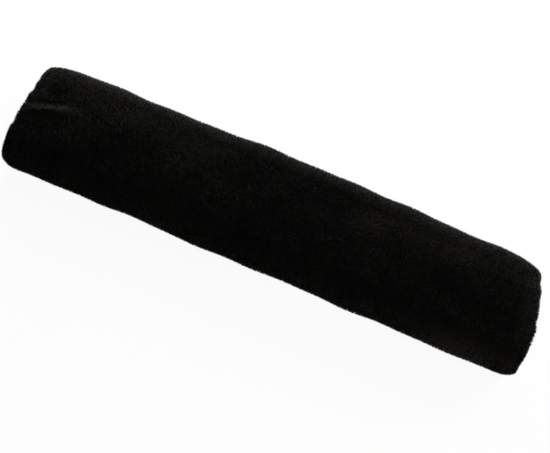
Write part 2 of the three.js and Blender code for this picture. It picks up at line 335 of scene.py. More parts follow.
def mouth_reach(side, s):
    """How far the wool reaches past the cut skin: a steady reach less two waves, plus a bell for
    each loose lock, which fades out towards the underside."""
    y, _, _, nz = on_path(s)
    furthest = np.full(np.shape(s), WOOL_PAST_SKIN)
    upper = eased((nz - LOCKS_END_AT) / -LOCKS_END_AT)
    for end, place, half_width, reach in LOOSE_LOCKS:
        if end == side:
            furthest = furthest + reach * np.exp(-(((y - place) / half_width) ** 2)) * upper
    for reach, width, phase in MOUTH_LOCKS:
        furthest = furthest - reach * (1 - np.sin(2 * np.pi * (s - CROWN_AT) / width + side * phase))
    return furthest


def rim_point(side, s, angle, inset=0.0, shy=0.0):
    """A point of the wool's rounded end, at an angle from 0, on top, to half a turn, at the skin.

    The first quarter turn is a quarter ellipse from the full pile out to its furthest reach, and
    the rest is a second one from there back to the cut skin. The tips are drawn in by inset, and
    the reach by shy.
    """
    s, angle = np.broadcast_arrays(s, angle)
    furthest = mouth_reach(side, s) - shy
    sine, cosine, first = np.sin(angle), np.cos(angle), angle < np.pi / 2
    start = np.where(first, -WOOL_END_ROUNDING, WOOL_OVER_RIM)
    past = start + (furthest - start) * sine
    share = np.where(first, RIM_WAIST + (1 - RIM_WAIST) * cosine, RIM_WAIST * (1 + cosine))
    return pile_point(s, cut_end(side, on_path(s)[0]) + side * past, share, inset)


# How a mesh is made

UV_LENGTH = 320.0  # the length along the pad that a UV map holds


def along_uv(x):
    """Each place along the pad as a share of the UV map."""
    return (x + UV_LENGTH / 2) / UV_LENGTH


def new_piece(name, points, faces, finish, uv=None, tones=None):
    """A mesh object at the origin from arrays of points, in millimetres, and of faces.

    uv is one pair for each point, and tones one number for each point.
    """
    mesh = bpy.data.meshes.new(name)
    faces = np.asarray(faces, np.int32)
    corners = faces.shape[1]
    mesh.vertices.add(len(points))
    mesh.vertices.foreach_set("co", ((points + SHIFT) * MM).astype(np.float32).ravel())
    mesh.loops.add(faces.size)
    mesh.loops.foreach_set("vertex_index", faces.ravel())
    mesh.polygons.add(len(faces))
    mesh.polygons.foreach_set("loop_start", np.arange(0, faces.size, corners, dtype=np.int32))
    mesh.update(calc_edges=True)
    mesh.shade_smooth()
    if uv is not None:
        layer = mesh.uv_layers.new(name="OFBake")
        layer.data.foreach_set("uv", np.asarray(uv, np.float32)[faces.ravel()].ravel())
    if tones is not None:
        tone = mesh.attributes.new("tone", "FLOAT", "POINT")
        tone.data.foreach_set("value", np.asarray(tones, np.float32))
    mesh.materials.append(finish)
    piece = bpy.data.objects.new(name, mesh)
    bpy.context.scene.collection.objects.link(piece)
    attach(piece, "root")
    return piece


def loft(rows):
    """Points and triangles of a closed solid through equal closed loops, rows by columns by 3,
    with a fan about the middle of the first and of the last loop."""
    count, columns = rows.shape[:2]
    a = np.arange(count * columns).reshape(count, columns)
    b = np.roll(a, -1, axis=1)
    walls = np.concatenate([
        np.stack([a[:-1], b[:-1], b[1:]], -1).reshape(-1, 3),
        np.stack([a[:-1], b[1:], a[1:]], -1).reshape(-1, 3),
    ])
    first, last = count * columns, count * columns + 1
    ends = np.concatenate([
        np.stack([b[0], a[0], np.full(columns, first)], -1),
        np.stack([a[-1], b[-1], np.full(columns, last)], -1),
    ])
    points = np.concatenate([rows.reshape(-1, 3), rows[:1].mean(axis=1), rows[-1:].mean(axis=1)])
    return points, np.concatenate([walls, ends])


FIBRE_TAPER = 0.7  # below 1, a fibre keeps its width for longer and ends blunter


def fibres(name, root, bend, tip, width, segments, tones, finish, uv_of):
    """Slender closed three-sided spikes along quadratic curves from root to tip, drawn by bend.

    The width shrinks from the root to a point, and no part lies below the ground. Each is turned
    about its length at random, seeded by the length of the piece's name. uv_of gives the UV of
    points and of the fibres that they belong to.
    """
    count = len(root)
    rng = np.random.default_rng(len(name))
    t = (np.arange(segments) / segments)[None, :, None]
    centre = root[:, None] * (1 - t) ** 2 + 2 * t * (1 - t) * bend[:, None] + t * t * tip[:, None]
    way = unit(tip - root)
    first = unit(np.cross(way, rng.normal(size=(count, 3))))
    second = np.cross(way, first)
    radius = (width[:, None, None] / 2) * (1 - t) ** FIBRE_TAPER
    corners = []
    for angle in np.arange(3) * 2 * np.pi / 3:
        outwards = math.cos(angle) * first + math.sin(angle) * second
        corners.append(centre + radius * outwards[:, None])
    rings = np.stack(corners, 2).reshape(count, segments * 3, 3)
    points = np.concatenate([rings, tip[:, None]], 1)
    each = segments * 3 + 1
    pattern = [(0, 2, 1)]
    for ring in range(segments - 1):
        for k in range(3):
            a, b = ring * 3 + k, ring * 3 + (k + 1) % 3
            pattern += [(a, b, b + 3), (a, b + 3, a + 3)]
    top = (segments - 1) * 3
    pattern += [(top + k, top + (k + 1) % 3, each - 1) for k in range(3)]
    faces = (np.arange(count)[:, None, None] * each + np.array(pattern)[None]).reshape(-1, 3)
    points = points.reshape(-1, 3)
    points[:, 2] = np.maximum(points[:, 2], -SHIFT[2])
    uv = uv_of(points, np.repeat(np.arange(count), each))
    new_piece(name, points, faces, finish, uv, np.repeat(tones, each))


def strands(name, centres, thickness, sides, finish):
    """Closed round strands along rows of points, count by points by 3.

    A ring of sides stands square to the strand at each inner point, and both ends are points. Each
    strand has its own row in the UV map, drawn at random and seeded by the length of the name.
    """
    count, length = centres.shape[:2]
    along = unit(np.gradient(centres, axis=1))
    first = unit(np.cross(along, np.array([0.31, 0.23, 0.92])))  # no strand runs this way
    second = np.cross(along, first)
    angle = (np.arange(sides) * 2 * np.pi / sides)[None, None, :, None]
    turned = np.cos(angle) * first[:, 1:-1, None] + np.sin(angle) * second[:, 1:-1, None]
    rings = centres[:, 1:-1, None] + thickness / 2 * turned
    points = np.concatenate([rings.reshape(count, -1, 3), centres[:, :1], centres[:, -1:]], 1)
    each = points.shape[1]
    pattern = []
    for k in range(sides):
        following = (k + 1) % sides
        pattern.append((each - 2, following, k))
        for ring in range(length - 3):
            a, b = ring * sides + k, ring * sides + following
            pattern += [(a, b, b + sides), (a, b + sides, a + sides)]
        pattern.append(((length - 3) * sides + k, (length - 3) * sides + following, each - 1))
    faces = (np.arange(count)[:, None, None] * each + np.array(pattern)[None]).reshape(-1, 3)
    way = np.concatenate([np.repeat(np.arange(1, length - 1), sides), [0, length - 1]]) / length
    own = np.random.default_rng(len(name)).uniform(0, 1, count)
    uv = np.stack([np.repeat(own, each), np.tile(way, count)], -1)
    new_piece(name, points.reshape(-1, 3), faces, finish, uv)


# How a finish is made


class Shade:
    """A value in a material. Arithmetic on it adds Math nodes; numbers may stand on either side."""

    def __init__(self, finish, socket):
        self.finish, self.socket = finish, socket

    def _math(self, operation, *values):
        inputs = {number: value for number, value in enumerate(values)}
        return self.finish.node("ShaderNodeMath", {"operation": operation}, inputs)

    def __add__(self, other):
        return self._math("ADD", self, other)

    def __radd__(self, other):
        return self._math("ADD", other, self)

    def __sub__(self, other):
        return self._math("SUBTRACT", self, other)

    def __rsub__(self, other):
        return self._math("SUBTRACT", other, self)

    def __mul__(self, other):
        return self._math("MULTIPLY", self, other)

    def __rmul__(self, other):
        return self._math("MULTIPLY", other, self)

    def clipped(self):
        """The value held between 0 and 1."""
        return self.finish.node("ShaderNodeClamp", {}, {"Value": self})


class Nodes:
    """A node tree under construction."""

    def __init__(self, tree):
        self.tree = tree

    def node(self, kind, settings, inputs, output=0):
        """Adds a node: first its settings, then the values or links of its sockets."""
        made = self.tree.nodes.new(kind)
        for name, value in settings.items():
            setattr(made, name, value)
        for name, value in inputs.items():
            self.feed(made.inputs[name], value)
        return Shade(self, made.outputs[output])

    def feed(self, socket, value):
        """Links a shade to a socket, or puts a plain value on it."""
        if isinstance(value, Shade):
            self.tree.links.new(value.socket, socket)
        else:
            socket.default_value = value


class Finish(Nodes):
    """A material under construction. Constants go straight onto its shader's sockets."""

    def __init__(self, name, **constants):
        self.material = bpy.data.materials.new(name)
        self.material.use_nodes = True
        super().__init__(self.material.node_tree)
        self.shader = self.tree.nodes["Principled BSDF"]
        self.out(**constants)

    def tone(self):
        """The tone that each fibre carries, from 0, dark, to 1, light."""
        return self.node("ShaderNodeAttribute", {"attribute_name": "tone"}, {}, "Fac")

    def noise(self, scale, detail=2.0, rough=0.5, stretch=(1, 1, 1)):
        """Noise from about 0 to 1 on the piece's own coordinates, in waves per millimetre."""
        place = self.node("ShaderNodeTexCoord", {}, {}, "Object")
        place = self.node("ShaderNodeMapping", {}, {"Vector": place, "Scale": stretch})
        inputs = {"Vector": place, "Scale": scale / MM, "Detail": detail, "Roughness": rough}
        return self.node("ShaderNodeTexNoise", {}, inputs, "Fac")

    def mix(self, factor, dark, light):
        """A colour a share of the way from dark to light."""
        inputs = {"Factor": factor, 6: (*dark, 1), 7: (*light, 1)}
        return self.node("ShaderNodeMix", {"data_type": "RGBA"}, inputs, 2)

    def bump(self, height, depth):
        """A bump of the given depth in millimetres, sent to the shader's normal."""
        inputs = {"Height": height, "Distance": depth * MM, "Strength": 1.0}
        self.out(Normal=self.node("ShaderNodeBump", {}, inputs, "Normal"))

    def out(self, **values):
        """Feeds the shader's sockets, named with underscores for spaces."""
        for name, value in values.items():
            self.feed(self.shader.inputs[name.replace("_", " ")], value)


def wool_core_finish():
    """Black wool between the fibre tips: mottled, rough, with a fine crimp in its bump."""
    finish = Finish("wool_core", Roughness=0.8, Specular_IOR_Level=0.04)
    patch, grain = finish.noise(0.045, detail=3), finish.noise(0.55, detail=3, rough=0.6)
    shade = (patch * 0.3 + grain * 0.3).clipped()
    finish.out(Base_Color=finish.mix(shade, *WOOL_COLOURS))
    finish.bump(finish.noise(1.4, detail=3, rough=0.7), depth=0.35)
    return finish.material


def wool_fibre_finish():
    """Black fibre tips: lighter than the wool between them, each with its own tone, which on the tips
    also carries painted highlights and painted shade.
    """
    finish = Finish("wool_fibre", Roughness=0.5, Specular_IOR_Level=0.033)
    shade = (finish.tone() + (finish.noise(0.04) - 0.5) * 0.15).clipped()
    finish.out(Base_Color=finish.mix(shade, *WOOL_COLOURS))
    return finish.material


def suede_finish():
    """Pale suede: grey white, with soft stains and a short nap in its bump."""
    finish = Finish("suede", Roughness=0.85, Specular_IOR_Level=0.2)
    stain, nap = finish.noise(0.06, detail=4), finish.noise(1.1, detail=3, rough=0.65)
    shade = (stain * 0.7 + nap * 0.3).clipped()
    finish.out(Base_Color=finish.mix(shade, *SUEDE_COLOURS))
    finish.bump(nap + finish.noise(0.25) * 1.5, depth=0.22)
    return finish.material


def fuzz_finish():
    """Pale fibres of the cut suede, each with its own tone."""
    finish = Finish("suede_fuzz", Roughness=0.8, Specular_IOR_Level=0.15)
    shade = (finish.tone() + (finish.noise(0.3) - 0.5) * 0.3).clipped()
    finish.out(Base_Color=finish.mix(shade, *FUZZ_COLOURS))
    return finish.material


def tape_finish(name, dark, light):
    """Grey woven nylon: a fine weave, drawn out along the tape."""
    finish = Finish(name, Roughness=0.6, Specular_IOR_Level=0.35)
    weave = finish.noise(2.2, stretch=(0.35, 1, 1))
    finish.out(Base_Color=finish.mix(weave, dark, light))
    finish.bump(weave, depth=0.15)
    return finish.material


def nap_finish(name, dark, light):
    """Nylon of single hooks or loops: slightly glossy, uneven in tone."""
    finish = Finish(name, Roughness=0.4, Specular_IOR_Level=0.45)
    finish.out(Base_Color=finish.mix(finish.noise(0.8), dark, light))
    return finish.material


def thread_finish():
    """Sewing thread: pale grey, twisted."""
    finish = Finish("thread", Roughness=0.5, Specular_IOR_Level=0.4)
    twist = finish.noise(3.0, detail=1, stretch=(1, 2, 1))
    finish.out(Base_Color=finish.mix(twist, *THREAD_COLOURS))
    return finish.material


# The wool

CORE_INSET = 1.6  # how far the core lies below the solid's surface on top
SIDE_INSET = 1.0  # the same at the sides and rims
CORE_LOOPS = 150  # about 1 mm apart round the sleeve
CORE_STEP = 1.0  # distance between a loop's points
CORE_RIM_STEPS = 20
CORE_BACK_STEPS = 9
CORE_TUFT = 2.3  # width of the tufts
CORE_TUFT_RISE = 0.25


def wool_core(finish):
    """The wool below its fibre tips: closed loops from mouth to mouth, swept round the sleeve.

    Each loop runs along the tips, round the rim at one mouth, back along the roots and round the
    rim at the other. Small tufts lift the tips by random heights.
    """
    s = np.linspace(0, WOOL_END, CORE_LOOPS)[:, None]
    along = np.linspace(0, 1, int(2 * SKIN_HALF_LENGTH / CORE_STEP))[None, :]
    angles = np.linspace(0, np.pi, CORE_RIM_STEPS + 1)[None, 1:]
    back = np.linspace(0, 1, CORE_BACK_STEPS + 1)[None, 1:-1]
    y, _, _, nz = on_path(s)
    low, high = cut_end(-1, y), cut_end(1, y)
    first, last = low + WOOL_END_ROUNDING, high - WOOL_END_ROUNDING

    inset = CORE_INSET + (SIDE_INSET - CORE_INSET) * (1 - np.maximum(nz, 0) ** 2)
    x = first + (last - first) * along
    tufts = CORE_TUFT_RISE * soft_noise(s - CROWN_AT, x, CORE_TUFT, seed=11)
    outer = pile_point(s, x, 1.0, inset - tufts)
    rim_at_finish = rim_point(1, s, angles, inset, SIDE_INSET)
    inner = pile_point(s, high + (low - high) * back, 0.0)
    rim_at_start = rim_point(-1, s, angles, inset, SIDE_INSET)[:, ::-1]
    rows = np.concatenate([outer, rim_at_finish, inner, rim_at_start], axis=1)
    points, faces = loft(rows)
    around = np.broadcast_to(s / WOOL_END, rows.shape[:2])
    uv = np.stack([along_uv(rows[:, :, 0]), around], -1).reshape(-1, 2)
    uv = np.concatenate([uv, [[0, 0], [1, 1]]])  # the middles of the two fans come last
    piece = new_piece("wool_core", points, faces, finish, uv)
    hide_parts("wool_pile")


FIBRE_CELL = 0.605  # one fibre tip stands in each square of this side
FIBRE_DEPTH = 2.4  # how far the roots lie below the solid's surface
FIBRE_WIDTH = 0.5
FIBRE_ARCH = 0.2
WIDTH_SPREAD = (0.75, 1.2)
SIDE_DEPTH = 1.5  # depth and width at the sides and rims, where the tips lie more evenly
SIDE_WIDTH = 0.8
SIDE_CALM = 0.75  # how much of a tip's lean and drop is gone there
TUFT_CELL = 1.65  # one tuft stands in each square of this side
TUFT_DEPTH = 2.2  # how far the tips drop for the square of their way from a tuft's middle
TUFT_PULL = 0.7  # the share of that way by which each tip leans back
TUFT_PAINTED_SHADE = 2.0  # painted shade: how much darker the tips are painted along it
OWN_CELL = 1.1  # lattice from which each tuft has its own height and tone
OWN_RISE = 0.25
OWN_TONE = 0.35
FLOW = 0.12  # how far whole patches of the nap lean
FLOW_CELL = 26
STRAY_LEAN = 0.15
STRAY_DROP = 0.12
STRAY_TONE = 0.12
TIPS_PROUD = 0.6  # how far the highest tips stand past the solid's surface
CREASE_PAINTED_HIGHLIGHT = 2.0  # painted highlight: how much lighter a crease's tips are painted for each millimetre of its rise
STEP_ASIDE = 0.02  # for finding the surface's directions
UV_MARGIN = 10.0  # left free on both sides of the girth

# Places where the wool is parted or pressed into a thin ridge: from and to, half width, rise
CREASES = [
    ((-147.5, -7.8), (-143.4, -6.2), 0.8, 0.2),
    ((-140.4, -5.0), (-129.5, -0.6), 0.7, 0.2),
    ((28.7, -11.1), (39.5, -5.8), 0.7, 0.5),
    ((126.9, -14.4), (137.2, -10.5), 0.6, 0.4),
]

# Patches of painted highlight on the tips, where the change is above 0, and of painted shade, where
# it is below: x, y, half length, half width, change
PAINTED_LIGHT_AND_SHADE = [
    (116, -32, 22, 8, 0.9),
    (-115, 19, 30, 9, 0.6),
    (-50, 20, 30, 9, 0.3),
    (57, 12, 13, 9, 0.6),
    (105, 19, 36, 8, 0.35),
    (14, 11, 24, 9, -0.35),
    (-57, -27, 15, 7, 0.45),
    (28, -2, 13, 7, -0.35),
    (-140, 8, 5, 6, -0.5),
    (115, -8, 9, 6, -0.3),
    (97, -25, 14, 5, -0.4),
    (-110, -12, 18, 8, -0.25),
]

# The outline of the tips seen along the belt, for spacing them evenly round the pad
GIRTH_S = np.linspace(0, WOOL_END, 900)
GIRTH_STEPS = np.linalg.norm(np.diff(pile_point(GIRTH_S, 0.0, 1.0), axis=0), axis=1)
GIRTH_RUN = np.concatenate([[0], np.cumsum(GIRTH_STEPS)])
GIRTH = GIRTH_RUN[-1]


def scattered(rng, length, cell):
    """One random place in each cell of a grid round the pad's girth and along a length."""
    rows, columns = int(GIRTH / cell), int(length / cell)
    g = (np.arange(rows)[:, None] + rng.random((rows, columns))) / rows
    t = (np.arange(columns)[None, :] + rng.random((rows, columns))) / columns
    return g.ravel() * GIRTH, t.ravel()


def crease_rise(x, y, nz):
    """How far each place stands up in a crease: a bell across the crease's line."""
    rise = np.zeros(len(x))
    for (x0, y0), (x1, y1), half_width, height in CREASES:
        length = math.hypot(x1 - x0, y1 - y0)
        ux, uy = (x1 - x0) / length, (y1 - y0) / length
        along = np.clip((x - x0) * ux + (y - y0) * uy, 0, length)
        reach = np.hypot(x - x0 - along * ux, y - y0 - along * uy) / half_width
        rise = np.maximum(rise, height * np.exp(-reach * reach))
    return np.where(nz > 0, rise, 0)


def painted_light_and_shade(x, y):
    """How much lighter the tips are painted at each place, as painted highlight above 0 and painted
    shade below: a sum of Gaussians.
    """
    change = np.zeros(len(x))
    for place_x, place_y, long, wide, painted_light_shift in PAINTED_LIGHT_AND_SHADE:
        across, along = (y - place_y) / wide, (x - place_x) / long
        change = change + painted_light_shift * np.exp(-(along**2) - across**2)
    return change


def tips_on(name, surface, s, t, g, length_at, finish, seed):
    """Fibre tips on a surface: a function of s, round the sleeve, and of t, along the pad.

    Each leans to the middle of its tuft and along a slowly turning flow. Those at the edge of a
    tuft are shorter and painted darker, a painted shade in the dips between the tufts, so that
    the surface is finely pebbled. Where the surface turns sideways the tips are shallower and
    wider and lie more evenly. The tufts and the UV map are laid out on g, the run round the
    girth, and on length_at.
    """
    rng = np.random.default_rng(seed)
    count = len(s)
    base = surface(s, t)
    across = unit(surface(s + STEP_ASIDE, t) - surface(s - STEP_ASIDE, t))
    along = unit(surface(s, t + STEP_ASIDE) - surface(s, t - STEP_ASIDE))
    outward = unit(np.cross(along, across))
    sidelong = 1 - np.maximum(outward[:, 2], 0) ** 2
    loose = 1 - SIDE_CALM * sidelong
    y, _, _, nz = on_path(s)
    rise = crease_rise(base[:, 0], y, nz)

    to_across, to_along = to_tuft(g, length_at, TUFT_CELL, seed=21)
    edge = np.hypot(to_across, to_along) / TUFT_CELL
    own = soft_noise(g + to_across, length_at + to_along, OWN_CELL, seed=22)
    flow_across = FLOW * soft_noise(g, length_at, FLOW_CELL, seed=31)
    flow_along = FLOW * soft_noise(g, length_at, FLOW_CELL, seed=33)
    lean_across = loose * (TUFT_PULL * to_across + rng.normal(0, STRAY_LEAN, count)) + flow_across
    lean_along = loose * (TUFT_PULL * to_along + rng.normal(0, STRAY_LEAN, count)) + flow_along
    lean = across * lean_across[:, None] + along * lean_along[:, None]

    uneven = TUFT_DEPTH * edge**2 - OWN_RISE * own + rng.normal(0, STRAY_DROP, count)
    drop = loose * uneven - rise - TIPS_PROUD
    root = base - outward * (FIBRE_DEPTH + (SIDE_DEPTH - FIBRE_DEPTH) * sidelong)[:, None]
    tip = base - outward * drop[:, None] + lean
    bend = (root + tip) / 2 - lean * FIBRE_ARCH
    plain_width = FIBRE_WIDTH + (SIDE_WIDTH - FIBRE_WIDTH) * sidelong
    width = plain_width * rng.uniform(*WIDTH_SPREAD, count)
    # Painted highlights and painted shade on the tips: the lighter and darker patches, plus a painted
    # highlight on each crease's ridge
    painted_light_shift = painted_light_and_shade(base[:, 0], base[:, 1]) + CREASE_PAINTED_HIGHLIGHT * rise
    tuft_tone_and_painted_shade = 1.0 - TUFT_PAINTED_SHADE * edge + OWN_TONE * own
    tones = np.clip(tuft_tone_and_painted_shade + painted_light_shift + rng.normal(0, STRAY_TONE, count), 0, 1)

    def uv_of(points, owner):
        side = ((points - root[owner]) * across[owner]).sum(-1)
        around = (g[owner] + side + UV_MARGIN) / (GIRTH + 2 * UV_MARGIN)
        return np.stack([along_uv(points[:, 0]), around], -1)

    fibres(name, root, bend, tip, width, 1, tones, finish, uv_of)


STEEP = 0.75  # height of the normal past which the wool counts as top or underside


def fibre_tips(finish):
    """The shorn tips all round the pad, in pieces by the way that they face."""
    rng = np.random.default_rng(7)
    g, t = scattered(rng, 2 * SKIN_HALF_LENGTH, FIBRE_CELL)
    s = np.interp(g, GIRTH_RUN, GIRTH_S)
    y, _, ny, nz = on_path(s)
    low, high = cut_end(-1, y) + WOOL_END_ROUNDING, cut_end(1, y) - WOOL_END_ROUNDING
    x = low + (high - low) * t
    regions = {
        "wool_tips_top": nz > STEEP,
        "wool_tips_near_side": (np.abs(nz) <= STEEP) & (ny < 0),
        "wool_tips_far_side": (np.abs(nz) <= STEEP) & (ny > 0),
        "wool_tips_underside": nz < -STEEP,
    }

    def surface(s, x):
        return pile_point(s, x, 1.0)

    for seed, (name, inside) in enumerate(regions.items()):
        kept = np.flatnonzero(inside)
        tips_on(name, surface, s[kept], x[kept], g[kept], x[kept], finish, seed)


RIM_ARC = 17.0  # from the full pile round the rim to the cut skin
RIM_CELL = 0.55
RIM_TURN = np.pi * 0.98  # stops just short of the skin
RIM_SEEDS = {-1: 39, 1: 41}
FROM_PARTING = 0.1  # least distance of a fibre from the parting line


def rim_tips(name, side, finish):
    """The shorn tips that carry on over the rounded rim of a mouth and in to the cut skin."""
    rng = np.random.default_rng(RIM_SEEDS[side])
    g, t = scattered(rng, RIM_ARC, RIM_CELL)
    s = np.clip(np.interp(g, GIRTH_RUN, GIRTH_S), FROM_PARTING, WOOL_END - FROM_PARTING)
    length_at = side * (SKIN_HALF_LENGTH - WOOL_END_ROUNDING + RIM_ARC * t)

    def surface(s, turn):
        # The turn grows along the pad at both mouths, so the tips point outwards at both
        return rim_point(side, s, side * turn)

    tips_on(name, surface, s, side * (RIM_TURN * t), g, length_at, finish, RIM_SEEDS[side])


LOCKS_PER_MM = 0.42
LOCK_FIBRES = 26
LOCK_REACH = (1.5, 4.2)  # how far a lock's point hangs in front of the cut skin
LOCK_POINT_AT = 2.2  # angle on the rim from which the point hangs
LOCK_POINT_OUT = (-0.6, 0.5)  # how far the point is moved along the pad
LOCK_SAG = (0.2, 1.4)
LOCK_HALF_WIDTH = 1.15
LOCKS_FACE = -0.35  # least height of the normal where a lock hangs
WISP_ANGLES = (1.35, 2.4)  # angles on the rim at which the fibres start
WISP_INSET = 0.8
WISP_STRAY = 0.3
WISP_SHORT = 0.4  # the most that a fibre ends short of the lock's point, as a share
WISP_BULGE = (0.3, 1.1)
WISP_WIDTH = 0.42
WISP_WIDTH_SPREAD = (0.7, 1.2)
WISP_TONE = 0.45
WISP_TONE_SPREAD = 0.2
WISP_SEEDS = {-1: 59, 1: 61}
UV_ANGLE = 4.0  # the angle round the rim that the UV map holds
UV_SKEW = 0.02  # keeps a fibre's points apart in the UV map


def mouth_wisps(name, side, finish):
    """Longer fibres in pointed locks that hang over a mouth from the wool above and beside it.

    The fibres of a lock start side by side on the rim, about its furthest reach, and meet near
    the lock's point, in front of the cut skin.
    """
    rng = np.random.default_rng(WISP_SEEDS[side])
    locks = int(WOOL_END * LOCKS_PER_MM)
    middle = (np.arange(locks) + rng.uniform(0, 1, locks)) * WOOL_END / locks
    reach = rng.uniform(*LOCK_REACH, locks)
    _, _, ny, nz = on_path(middle)
    out = side * rng.uniform(*LOCK_POINT_OUT, locks)
    hang = np.stack([out, -ny * reach, -nz * reach], -1)
    point = rim_point(side, middle, np.full(locks, LOCK_POINT_AT)) + hang
    point[:, 2] -= rng.uniform(*LOCK_SAG, locks)
    kept = (nz > LOCKS_FACE) & (point[:, 2] > FLAP_A_LEVEL)
    middle, point = middle[kept], point[kept]

    lock = np.repeat(np.arange(len(middle)), LOCK_FIBRES)
    count = len(lock)
    s = middle[lock] + rng.normal(0, LOCK_HALF_WIDTH, count)
    s = np.clip(s, FROM_PARTING, WOOL_END - FROM_PARTING)
    angle = rng.uniform(*WISP_ANGLES, count)
    root = rim_point(side, s, angle, WISP_INSET, WISP_INSET)
    stray = rng.normal(0, WISP_STRAY, (count, 3))
    short = rng.uniform(0, WISP_SHORT, count)[:, None]
    tip = point[lock] + stray + (root - point[lock]) * short
    bend = (root + tip) / 2
    bend[:, 0] += side * rng.uniform(*WISP_BULGE, count)
    width = WISP_WIDTH * rng.uniform(*WISP_WIDTH_SPREAD, count)
    tones = np.clip(rng.normal(WISP_TONE, WISP_TONE_SPREAD, count), 0, 1)

    def uv_of(points, owner):
        around = (s[owner] + UV_SKEW * points[:, 0]) / WOOL_END
        over_rim = (angle[owner] + UV_SKEW * points[:, 2]) / UV_ANGLE
        return np.stack([around, over_rim], -1)

    fibres(name, root, bend, tip, width, 3, tones, finish, uv_of)


# The suede

SUEDE_LOOPS = 230
SUEDE_FACES = (SKIN / 2 - 0.12, -SKIN / 2 + 0.05)  # its wool side and its inside, off the path
SUEDE_RIPPLE = 0.10
SUEDE_RIPPLE_CELL = 7.0
SUEDE_NEAR_CUT = 0.04  # share of the length at each end where the points lie close together
CUT_WAVERS = [(0.35, 3.1), (0.3, 9.0)]  # reach and width of each waver
CUT_SEEDS = {-1: (61, 62), 1: (63, 64)}


def suede_cut(side, s):
    """Where the suede ends at a mouth: the cut, wavering by a few tenths of a millimetre."""
    (short_reach, short), (long_reach, long) = CUT_WAVERS
    short_seed, long_seed = CUT_SEEDS[side]
    waver = short_reach * soft_noise(s, 0 * s, short, short_seed)
    waver = waver + long_reach * soft_noise(s, 0 * s, long, long_seed)
    return cut_end(side, on_path(s)[0]) + waver


def suede_sheet(finish):
    """The wrapped suede: one strip loop for each place round the sleeve, out along its wool side
    and back along its inside, with raw ends that waver by a few tenths of a millimetre."""
    s = np.linspace(0, PATH_END, SUEDE_LOOPS)[:, None]
    y, z, ny, nz = on_path(s)
    low, high = suede_cut(-1, s), suede_cut(1, s)
    middle = np.linspace(SUEDE_NEAR_CUT, 1 - SUEDE_NEAR_CUT, 24)
    begin, end = np.linspace(0, middle[0], 9)[:-1], np.linspace(middle[-1], 1, 9)[1:]
    x = low + (high - low) * np.concatenate([begin, middle, end])[None, :]
    ripple = SUEDE_RIPPLE * soft_noise(s, x, SUEDE_RIPPLE_CELL, seed=65)
    outside, inside = (
        np.stack([x, y + ny * (offset + ripple), z + nz * (offset + ripple)], -1)
        for offset in SUEDE_FACES
    )
    points, faces = loft(np.concatenate([outside, inside[:, ::-1]], axis=1))
    piece = new_piece("suede_sheet", points, faces, finish)
    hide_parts("skin")


FUZZ_PER_MM = 16
FUZZ_FROM_EDGE = 0.2  # least distance from the edges of the two flaps
FUZZ_WITHIN = (-SKIN / 2 + 0.08, SKIN / 2 - 0.15)  # where it stands in the suede's thickness
FUZZ_ROOTED = 0.25  # how far a fibre starts inside the cut
FUZZ_LENGTH = (0.3, 0.9)
FUZZ_STRAY = 0.28
FUZZ_CRIMP = 0.08
FUZZ_WIDTH = (0.07, 0.13)
FUZZ_TONE = (0.3, 1.0)
FUZZ_SEEDS = {-1: 79, 1: 81}


def suede_fuzz(name, side, finish):
    """Fine pale fibres that stand out of the raw cut edge of the suede at a mouth."""
    rng = np.random.default_rng(FUZZ_SEEDS[side])
    count = int(PATH_END * FUZZ_PER_MM)
    s = rng.uniform(FUZZ_FROM_EDGE, PATH_END - FUZZ_FROM_EDGE, count)
    y, z, ny, nz = on_path(s)
    offset = rng.uniform(*FUZZ_WITHIN, count)
    start = suede_cut(side, s) - side * FUZZ_ROOTED
    root = np.stack([start, y + ny * offset, z + nz * offset], -1)
    stray = rng.normal(0, FUZZ_STRAY, (count, 3))
    stray[:, 0] = side * (FUZZ_ROOTED + rng.uniform(*FUZZ_LENGTH, count))
    tip = root + stray
    bend = (root + tip) / 2 + rng.normal(0, FUZZ_CRIMP, (count, 3))
    width = rng.uniform(*FUZZ_WIDTH, count)
    tones = rng.uniform(*FUZZ_TONE, count)

    def uv_of(points, owner):
        # A tenth of the place along the pad keeps a fibre's points apart in the UV map
        across_edge = (offset[owner] + 1 + 0.1 * points[:, 0]) / 40
        return np.stack([s[owner] / PATH_END, across_edge], -1)

    fibres(name, root, bend, tip, width, 1, tones, finish, uv_of)


# The closure

STITCH_PITCH = 3.0
STITCH_LENGTH = 2.5
STITCH_RISE = 0.32
STITCH_SUNK = 0.15
STITCH_BLUNTNESS = 0.7  # below 1, a stitch rises steeply and is flat on top
STITCH_PULL = 0.05  # how far the stitches pull the suede in
STITCH_STRAY = 0.07
STITCH_POINTS = 8
THREAD_THICKNESS = 0.38
THREAD_SIDES = 6
SEAM_FROM_MIDDLE = 7.0  # 1 mm in from the edge of the tape
SEAM_FROM_END = 2.0
CROSS_SEAM_OUT = 0.3  # how far a seam across lies outside the ends of the seams along


